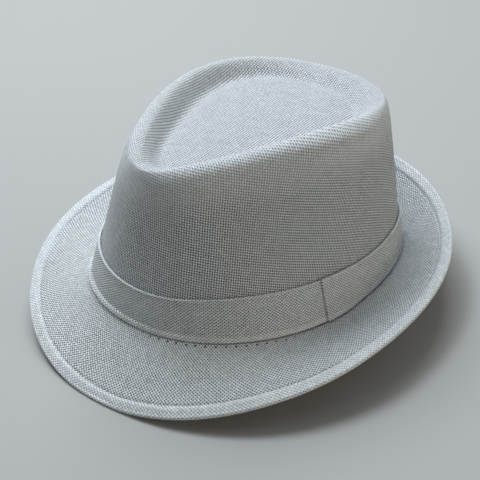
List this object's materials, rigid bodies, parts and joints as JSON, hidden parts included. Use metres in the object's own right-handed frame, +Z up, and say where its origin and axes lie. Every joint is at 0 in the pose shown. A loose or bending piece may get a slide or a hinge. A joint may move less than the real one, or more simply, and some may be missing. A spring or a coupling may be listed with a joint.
{
  "type": "trilby hat",
  "caption": "Short-brimmed woven cloth hat with a teardrop crown, a folded hat band and a brim snapped down in front and turned up behind.",
  "frame": {"origin": "middle of the hat's footprint, on the surface that it rests on", "axes": "+Z up, the front of the hat towards -Y, the wearer's left towards +X"},
  "size_m": [0.2541, 0.2685, 0.1223],
  "materials": {
    "crown_cloth": "coarse plain weave, matt, cool white",
    "brim_cloth": "coarse plain weave cut on the bias, doubled and pressed, cool white",
    "band_cloth": "coarse plain weave cut on the bias and folded, cool white"
  },
  "bodies": {
    "root": {"crown": "crown_cloth", "brim": "brim_cloth", "hat_band": "band_cloth"}
  },
  "joints": []
}
